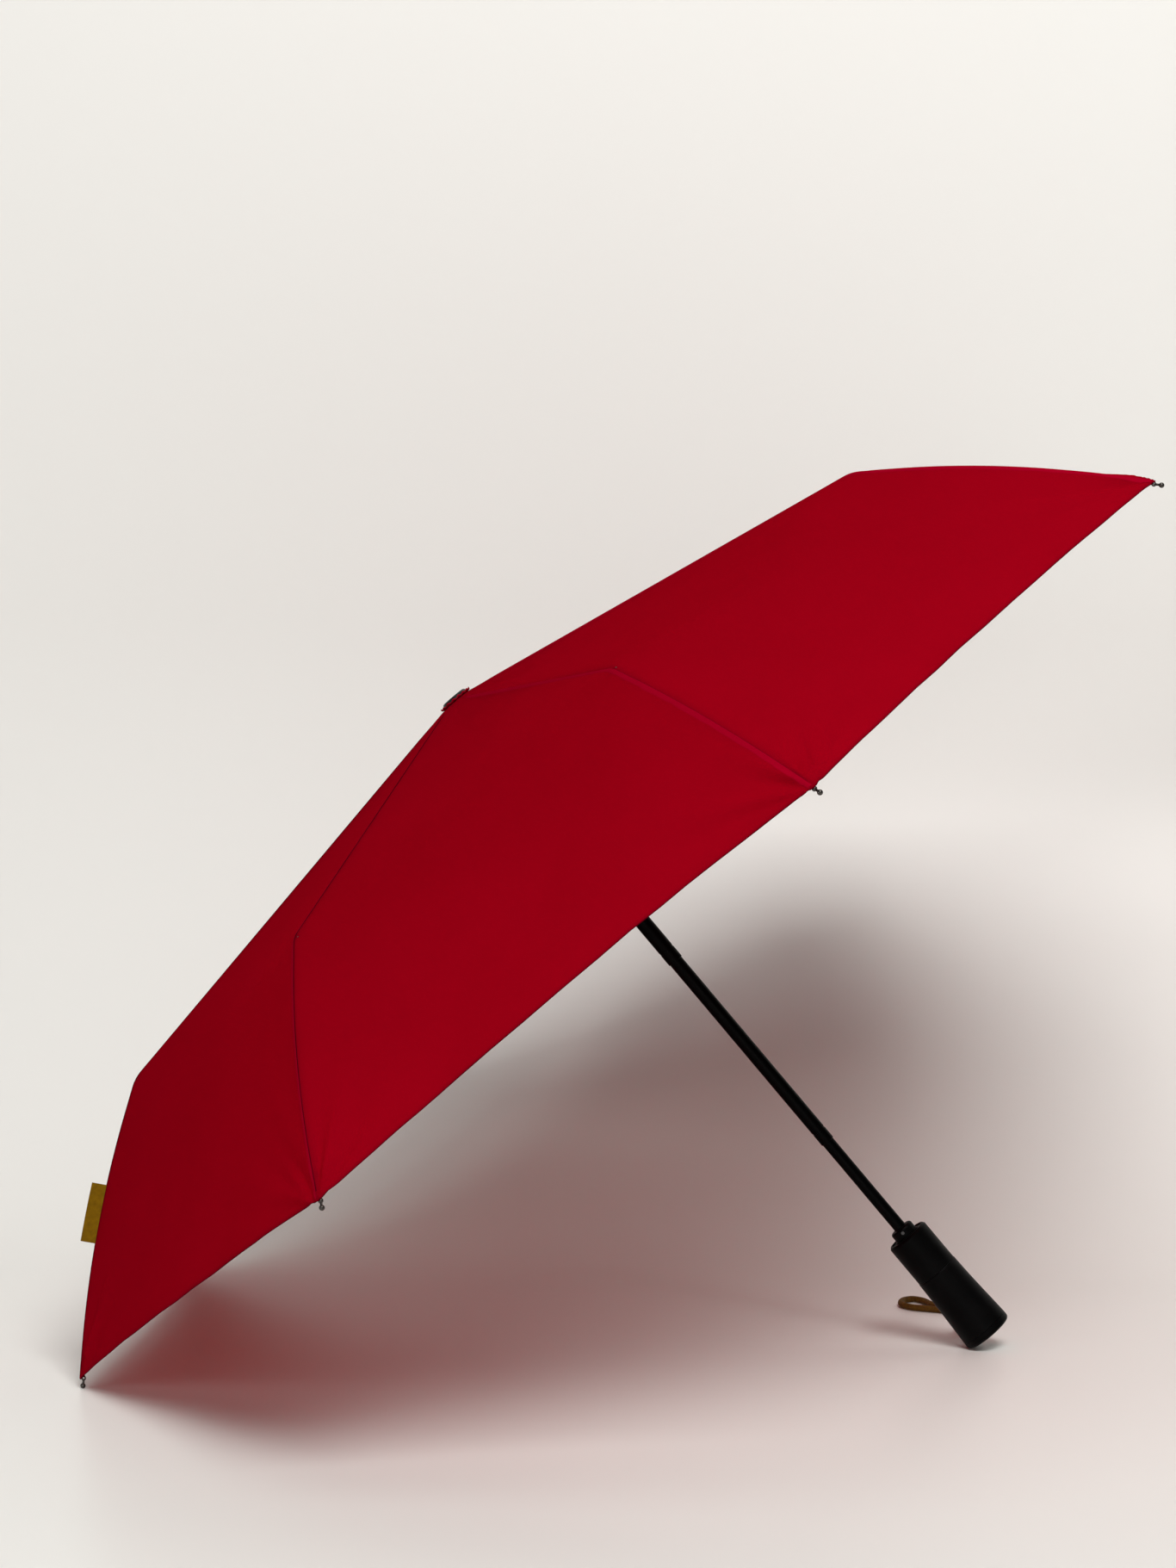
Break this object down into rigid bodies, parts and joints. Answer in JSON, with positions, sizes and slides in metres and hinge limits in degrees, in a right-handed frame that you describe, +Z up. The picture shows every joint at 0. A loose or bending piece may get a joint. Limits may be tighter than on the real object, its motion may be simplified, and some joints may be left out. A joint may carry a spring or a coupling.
{
  "type": "folding umbrella",
  "caption": "Open compact folding umbrella with a red cloth canopy on jointed ribs, a telescopic black shaft, a push-button handle and a wrist loop, lying on its side.",
  "frame": {"origin": "on the floor under the middle of the box around the umbrella, as it lies on two rib tips and the edge of its handle; the wrist loop is left out of that box", "axes": "+Z up from the floor; the shaft lies in the XZ plane, with the handle towards +X and the crown towards -X; +Y across the canopy, away from the camera of the picture"},
  "size_m": [0.6957, 0.9088, 0.6022],
  "materials": {
    "handle_black": "satin black",
    "button_black": "gloss black",
    "fitting_black": "moulded black",
    "tube_black": "gloss black lacquer on steel",
    "rib_black": "black coated steel",
    "tip_gunmetal": "gunmetal plated",
    "steel": "bright drawn wire",
    "canopy_red": "satin woven polyester",
    "loop_ochre": "woven cord",
    "label_ochre": "woven tape"
  },
  "bodies": {
    "handle_body": {"handle_housing": "handle_black", "handle_grip": "handle_black", "handle_end_cap": "handle_black", "handle_collar": "handle_black", "collar_screw": "steel", "lower_tube": "tube_black", "main_spring": "steel", "strap_anchor": "handle_black", "wrist_loop": "loop_ochre"},
    "push_button": {"push_button": "button_black"},
    "middle_tube": {"middle_tube": "tube_black"},
    "top_tube": {"top_tube": "tube_black", "crown_hub": "fitting_black", "crown_wire": "steel", "crown_cap": "fitting_black", "rosette": "canopy_red", "canopy": "canopy_red"},
    "runner": {"runner": "fitting_black", "runner_wire": "steel"},
    "crown_rib_1": {"crown_rib_1": "rib_black"},
    "stretcher_1": {"stretcher_1": "rib_black"},
    "middle_rib_1": {"middle_rib_1": "rib_black"},
    "outer_rib_1": {"outer_rib_1": "rib_black", "rib_tip_1": "tip_gunmetal", "label_tag": "label_ochre"},
    "crown_rib_2": {"crown_rib_2": "rib_black"},
    "stretcher_2": {"stretcher_2": "rib_black"},
    "middle_rib_2": {"middle_rib_2": "rib_black"},
    "outer_rib_2": {"outer_rib_2": "rib_black", "rib_tip_2": "tip_gunmetal"},
    "crown_rib_3": {"crown_rib_3": "rib_black"},
    "stretcher_3": {"stretcher_3": "rib_black"},
    "middle_rib_3": {"middle_rib_3": "rib_black"},
    "outer_rib_3": {"outer_rib_3": "rib_black", "rib_tip_3": "tip_gunmetal"},
    "crown_rib_4": {"crown_rib_4": "rib_black"},
    "stretcher_4": {"stretcher_4": "rib_black"},
    "middle_rib_4": {"middle_rib_4": "rib_black"},
    "outer_rib_4": {"outer_rib_4": "rib_black", "rib_tip_4": "tip_gunmetal"},
    "crown_rib_5": {"crown_rib_5": "rib_black"},
    "stretcher_5": {"stretcher_5": "rib_black"},
    "middle_rib_5": {"middle_rib_5": "rib_black"},
    "outer_rib_5": {"outer_rib_5": "rib_black", "rib_tip_5": "tip_gunmetal"},
    "crown_rib_6": {"crown_rib_6": "rib_black"},
    "stretcher_6": {"stretcher_6": "rib_black"},
    "middle_rib_6": {"middle_rib_6": "rib_black"},
    "outer_rib_6": {"outer_rib_6": "rib_black", "rib_tip_6": "tip_gunmetal"},
    "crown_rib_7": {"crown_rib_7": "rib_black"},
    "stretcher_7": {"stretcher_7": "rib_black"},
    "middle_rib_7": {"middle_rib_7": "rib_black"},
    "outer_rib_7": {"outer_rib_7": "rib_black", "rib_tip_7": "tip_gunmetal"},
    "crown_rib_8": {"crown_rib_8": "rib_black"},
    "stretcher_8": {"stretcher_8": "rib_black"},
    "middle_rib_8": {"middle_rib_8": "rib_black"},
    "outer_rib_8": {"outer_rib_8": "rib_black", "rib_tip_8": "tip_gunmetal"}
  },
  "joints": [
    {"name": "button_press", "type": "slide", "parent": "handle_body", "child": "push_button", "axis": [0, -1, 0], "range_m": [0, 0.0022], "stiffness_N_per_m": 400, "springref_m": -0.003},
    {"name": "middle_tube_slide", "type": "slide", "parent": "handle_body", "child": "middle_tube", "axis": [-0.651, 0, 0.759], "range_m": [-0.076, 0], "stiffness_N_per_m": 30, "springref_m": 0.25},
    {"name": "top_tube_slide", "type": "slide", "parent": "middle_tube", "child": "top_tube", "axis": [-0.651, 0, 0.759], "range_m": [-0.16, 0], "stiffness_N_per_m": 30, "springref_m": 0.25, "deforming": ["main_spring"]},
    {"name": "runner_slide", "type": "slide", "parent": "top_tube", "child": "runner", "axis": [-0.651, 0, 0.759], "range_m": [-0.09506, 0], "stiffness_N_per_m": 120, "springref_m": 0.25, "deforming": ["canopy"]},
    {"name": "crown_rib_1_hinge", "type": "hinge", "parent": "top_tube", "child": "crown_rib_1", "pos_m": [-0.12666, -0.00325, 0.43209], "axis": [-0.2905, 0.9239, -0.2491], "range_deg": [-78.14, 0.05]},
    {"name": "stretcher_1_hinge", "type": "hinge", "parent": "runner", "child": "stretcher_1", "pos_m": [-0.06096, -0.00395, 0.35291], "axis": [-0.2905, 0.9239, -0.2491], "range_deg": [-0.05, 40.2]},
    {"name": "middle_rib_1_hinge", "type": "hinge", "parent": "crown_rib_1", "child": "middle_rib_1", "pos_m": [-0.22667, -0.06813, 0.3081], "axis": [-0.2905, 0.9239, -0.2491], "range_deg": [-0.05, 174.85]},
    {"name": "outer_rib_1_hinge", "type": "hinge", "parent": "middle_rib_1", "child": "outer_rib_1", "pos_m": [-0.31851, -0.12772, 0.19422], "axis": [-0.2905, 0.9239, -0.2491], "range_deg": [-148.06, 0.05]},
    {"name": "crown_rib_2_hinge", "type": "hinge", "parent": "top_tube", "child": "crown_rib_2", "pos_m": [-0.12317, -0.00785, 0.43508], "axis": [-0.7013, 0.3827, -0.6015], "range_deg": [-78.14, 0.05]},
    {"name": "stretcher_2_hinge", "type": "hinge", "parent": "runner", "child": "stretcher_2", "pos_m": [-0.05672, -0.00953, 0.35654], "axis": [-0.7013, 0.3827, -0.6015], "range_deg": [-0.05, 40.2]},
    {"name": "middle_rib_2_hinge", "type": "hinge", "parent": "crown_rib_2", "child": "middle_rib_2", "pos_m": [-0.15353, -0.16448, 0.37083], "axis": [-0.7013, 0.3827, -0.6015], "range_deg": [-0.05, 174.85]},
    {"name": "outer_rib_2_hinge", "type": "hinge", "parent": "middle_rib_2", "child": "outer_rib_2", "pos_m": [-0.18142, -0.30834, 0.31181], "axis": [-0.7013, 0.3827, -0.6015], "range_deg": [-148.06, 0.05]},
    {"name": "crown_rib_3_hinge", "type": "hinge", "parent": "top_tube", "child": "crown_rib_3", "pos_m": [-0.11823, -0.00785, 0.43932], "axis": [-0.7013, -0.3827, -0.6015], "range_deg": [-78.14, 0.05]},
    {"name": "stretcher_3_hinge", "type": "hinge", "parent": "runner", "child": "stretcher_3", "pos_m": [-0.05073, -0.00953, 0.36169], "axis": [-0.7013, -0.3827, -0.6015], "range_deg": [-0.05, 40.2]},
    {"name": "middle_rib_3_hinge", "type": "hinge", "parent": "crown_rib_3", "child": "middle_rib_3", "pos_m": [-0.0501, -0.16448, 0.45954], "axis": [-0.7013, -0.3827, -0.6015], "range_deg": [-0.05, 174.85]},
    {"name": "outer_rib_3_hinge", "type": "hinge", "parent": "middle_rib_3", "child": "outer_rib_3", "pos_m": [0.01247, -0.30834, 0.47811], "axis": [-0.7013, -0.3827, -0.6015], "range_deg": [-148.06, 0.05]},
    {"name": "crown_rib_4_hinge", "type": "hinge", "parent": "top_tube", "child": "crown_rib_4", "pos_m": [-0.11474, -0.00325, 0.44232], "axis": [-0.2905, -0.9239, -0.2491], "range_deg": [-78.14, 0.05]},
    {"name": "stretcher_4_hinge", "type": "hinge", "parent": "runner", "child": "stretcher_4", "pos_m": [-0.04649, -0.00395, 0.36532], "axis": [-0.2905, -0.9239, -0.2491], "range_deg": [-0.05, 40.2]},
    {"name": "middle_rib_4_hinge", "type": "hinge", "parent": "crown_rib_4", "child": "middle_rib_4", "pos_m": [0.02303, -0.06813, 0.52227], "axis": [-0.2905, -0.9239, -0.2491], "range_deg": [-0.05, 174.85]},
    {"name": "outer_rib_4_hinge", "type": "hinge", "parent": "middle_rib_4", "child": "outer_rib_4", "pos_m": [0.14957, -0.12772, 0.5957], "axis": [-0.2905, -0.9239, -0.2491], "range_deg": [-148.06, 0.05]},
    {"name": "crown_rib_5_hinge", "type": "hinge", "parent": "top_tube", "child": "crown_rib_5", "pos_m": [-0.11474, 0.00325, 0.44232], "axis": [0.2905, -0.9239, 0.2491], "range_deg": [-78.14, 0.05]},
    {"name": "stretcher_5_hinge", "type": "hinge", "parent": "runner", "child": "stretcher_5", "pos_m": [-0.04649, 0.00395, 0.36532], "axis": [0.2905, -0.9239, 0.2491], "range_deg": [-0.05, 40.2]},
    {"name": "middle_rib_5_hinge", "type": "hinge", "parent": "crown_rib_5", "child": "middle_rib_5", "pos_m": [0.02303, 0.06813, 0.52227], "axis": [0.2905, -0.9239, 0.2491], "range_deg": [-0.05, 174.85]},
    {"name": "outer_rib_5_hinge", "type": "hinge", "parent": "middle_rib_5", "child": "outer_rib_5", "pos_m": [0.14957, 0.12772, 0.5957], "axis": [0.2905, -0.9239, 0.2491], "range_deg": [-148.06, 0.05]},
    {"name": "crown_rib_6_hinge", "type": "hinge", "parent": "top_tube", "child": "crown_rib_6", "pos_m": [-0.11823, 0.00785, 0.43932], "axis": [0.7013, -0.3827, 0.6015], "range_deg": [-78.14, 0.05]},
    {"name": "stretcher_6_hinge", "type": "hinge", "parent": "runner", "child": "stretcher_6", "pos_m": [-0.05073, 0.00953, 0.36169], "axis": [0.7013, -0.3827, 0.6015], "range_deg": [-0.05, 40.2]},
    {"name": "middle_rib_6_hinge", "type": "hinge", "parent": "crown_rib_6", "child": "middle_rib_6", "pos_m": [-0.0501, 0.16448, 0.45954], "axis": [0.7013, -0.3827, 0.6015], "range_deg": [-0.05, 174.85]},
    {"name": "outer_rib_6_hinge", "type": "hinge", "parent": "middle_rib_6", "child": "outer_rib_6", "pos_m": [0.01247, 0.30834, 0.47811], "axis": [0.7013, -0.3827, 0.6015], "range_deg": [-148.06, 0.05]},
    {"name": "crown_rib_7_hinge", "type": "hinge", "parent": "top_tube", "child": "crown_rib_7", "pos_m": [-0.12317, 0.00785, 0.43508], "axis": [0.7013, 0.3827, 0.6015], "range_deg": [-78.14, 0.05]},
    {"name": "stretcher_7_hinge", "type": "hinge", "parent": "runner", "child": "stretcher_7", "pos_m": [-0.05672, 0.00953, 0.35654], "axis": [0.7013, 0.3827, 0.6015], "range_deg": [-0.05, 40.2]},
    {"name": "middle_rib_7_hinge", "type": "hinge", "parent": "crown_rib_7", "child": "middle_rib_7", "pos_m": [-0.15353, 0.16448, 0.37083], "axis": [0.7013, 0.3827, 0.6015], "range_deg": [-0.05, 174.85]},
    {"name": "outer_rib_7_hinge", "type": "hinge", "parent": "middle_rib_7", "child": "outer_rib_7", "pos_m": [-0.18142, 0.30834, 0.31181], "axis": [0.7013, 0.3827, 0.6015], "range_deg": [-148.06, 0.05]},
    {"name": "crown_rib_8_hinge", "type": "hinge", "parent": "top_tube", "child": "crown_rib_8", "pos_m": [-0.12666, 0.00325, 0.43209], "axis": [0.2905, 0.9239, 0.2491], "range_deg": [-78.14, 0.05]},
    {"name": "stretcher_8_hinge", "type": "hinge", "parent": "runner", "child": "stretcher_8", "pos_m": [-0.06096, 0.00395, 0.35291], "axis": [0.2905, 0.9239, 0.2491], "range_deg": [-0.05, 40.2]},
    {"name": "middle_rib_8_hinge", "type": "hinge", "parent": "crown_rib_8", "child": "middle_rib_8", "pos_m": [-0.22667, 0.06813, 0.3081], "axis": [0.2905, 0.9239, 0.2491], "range_deg": [-0.05, 174.85]},
    {"name": "outer_rib_8_hinge", "type": "hinge", "parent": "middle_rib_8", "child": "outer_rib_8", "pos_m": [-0.31851, 0.12772, 0.19422], "axis": [0.2905, 0.9239, 0.2491], "range_deg": [-148.06, 0.05]}
  ],
  "couplings": [
    {"joint": "crown_rib_1_hinge", "follows": "runner_slide", "rad_per_m": 14.338},
    {"joint": "stretcher_1_hinge", "follows": "runner_slide", "rad_per_m": -7.3715},
    {"joint": "middle_rib_1_hinge", "follows": "runner_slide", "rad_per_m": -32.095},
    {"joint": "outer_rib_1_hinge", "follows": "runner_slide", "rad_per_m": 27.175},
    {"joint": "crown_rib_2_hinge", "follows": "runner_slide", "rad_per_m": 14.338},
    {"joint": "stretcher_2_hinge", "follows": "runner_slide", "rad_per_m": -7.3715},
    {"joint": "middle_rib_2_hinge", "follows": "runner_slide", "rad_per_m": -32.095},
    {"joint": "outer_rib_2_hinge", "follows": "runner_slide", "rad_per_m": 27.175},
    {"joint": "crown_rib_3_hinge", "follows": "runner_slide", "rad_per_m": 14.338},
    {"joint": "stretcher_3_hinge", "follows": "runner_slide", "rad_per_m": -7.3715},
    {"joint": "middle_rib_3_hinge", "follows": "runner_slide", "rad_per_m": -32.095},
    {"joint": "outer_rib_3_hinge", "follows": "runner_slide", "rad_per_m": 27.175},
    {"joint": "crown_rib_4_hinge", "follows": "runner_slide", "rad_per_m": 14.338},
    {"joint": "stretcher_4_hinge", "follows": "runner_slide", "rad_per_m": -7.3715},
    {"joint": "middle_rib_4_hinge", "follows": "runner_slide", "rad_per_m": -32.095},
    {"joint": "outer_rib_4_hinge", "follows": "runner_slide", "rad_per_m": 27.175},
    {"joint": "crown_rib_5_hinge", "follows": "runner_slide", "rad_per_m": 14.338},
    {"joint": "stretcher_5_hinge", "follows": "runner_slide", "rad_per_m": -7.3715},
    {"joint": "middle_rib_5_hinge", "follows": "runner_slide", "rad_per_m": -32.095},
    {"joint": "outer_rib_5_hinge", "follows": "runner_slide", "rad_per_m": 27.175},
    {"joint": "crown_rib_6_hinge", "follows": "runner_slide", "rad_per_m": 14.338},
    {"joint": "stretcher_6_hinge", "follows": "runner_slide", "rad_per_m": -7.3715},
    {"joint": "middle_rib_6_hinge", "follows": "runner_slide", "rad_per_m": -32.095},
    {"joint": "outer_rib_6_hinge", "follows": "runner_slide", "rad_per_m": 27.175},
    {"joint": "crown_rib_7_hinge", "follows": "runner_slide", "rad_per_m": 14.338},
    {"joint": "stretcher_7_hinge", "follows": "runner_slide", "rad_per_m": -7.3715},
    {"joint": "middle_rib_7_hinge", "follows": "runner_slide", "rad_per_m": -32.095},
    {"joint": "outer_rib_7_hinge", "follows": "runner_slide", "rad_per_m": 27.175},
    {"joint": "crown_rib_8_hinge", "follows": "runner_slide", "rad_per_m": 14.338},
    {"joint": "stretcher_8_hinge", "follows": "runner_slide", "rad_per_m": -7.3715},
    {"joint": "middle_rib_8_hinge", "follows": "runner_slide", "rad_per_m": -32.095},
    {"joint": "outer_rib_8_hinge", "follows": "runner_slide", "rad_per_m": 27.175}
  ]
}
